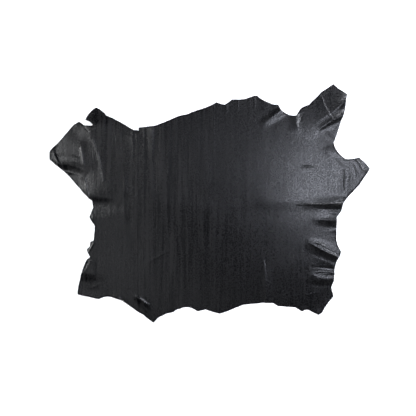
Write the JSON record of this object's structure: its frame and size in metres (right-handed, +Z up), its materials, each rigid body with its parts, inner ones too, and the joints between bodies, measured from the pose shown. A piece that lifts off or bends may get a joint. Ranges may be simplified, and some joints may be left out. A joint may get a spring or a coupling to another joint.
{
  "type": "lambskin leather hide",
  "caption": "Whole black lambskin leather hide with raw irregular edges, lying flat with low folds and lifted edges; material to cut and sew.",
  "frame": {"origin": "middle of the hide's outline, on the surface that it lies on", "axes": "+X along the hide's length, to the right in the picture; +Y across it, upwards in the picture; +Z up, out of the grain side"},
  "size_m": [1.02, 0.76, 0.011],
  "materials": {
    "lambskin": "semi-gloss black grain side with fine pebble grain and faint upright streaks; matt dark suede underside"
  },
  "bodies": {
    "root": {"hide": "lambskin"}
  },
  "joints": []
}
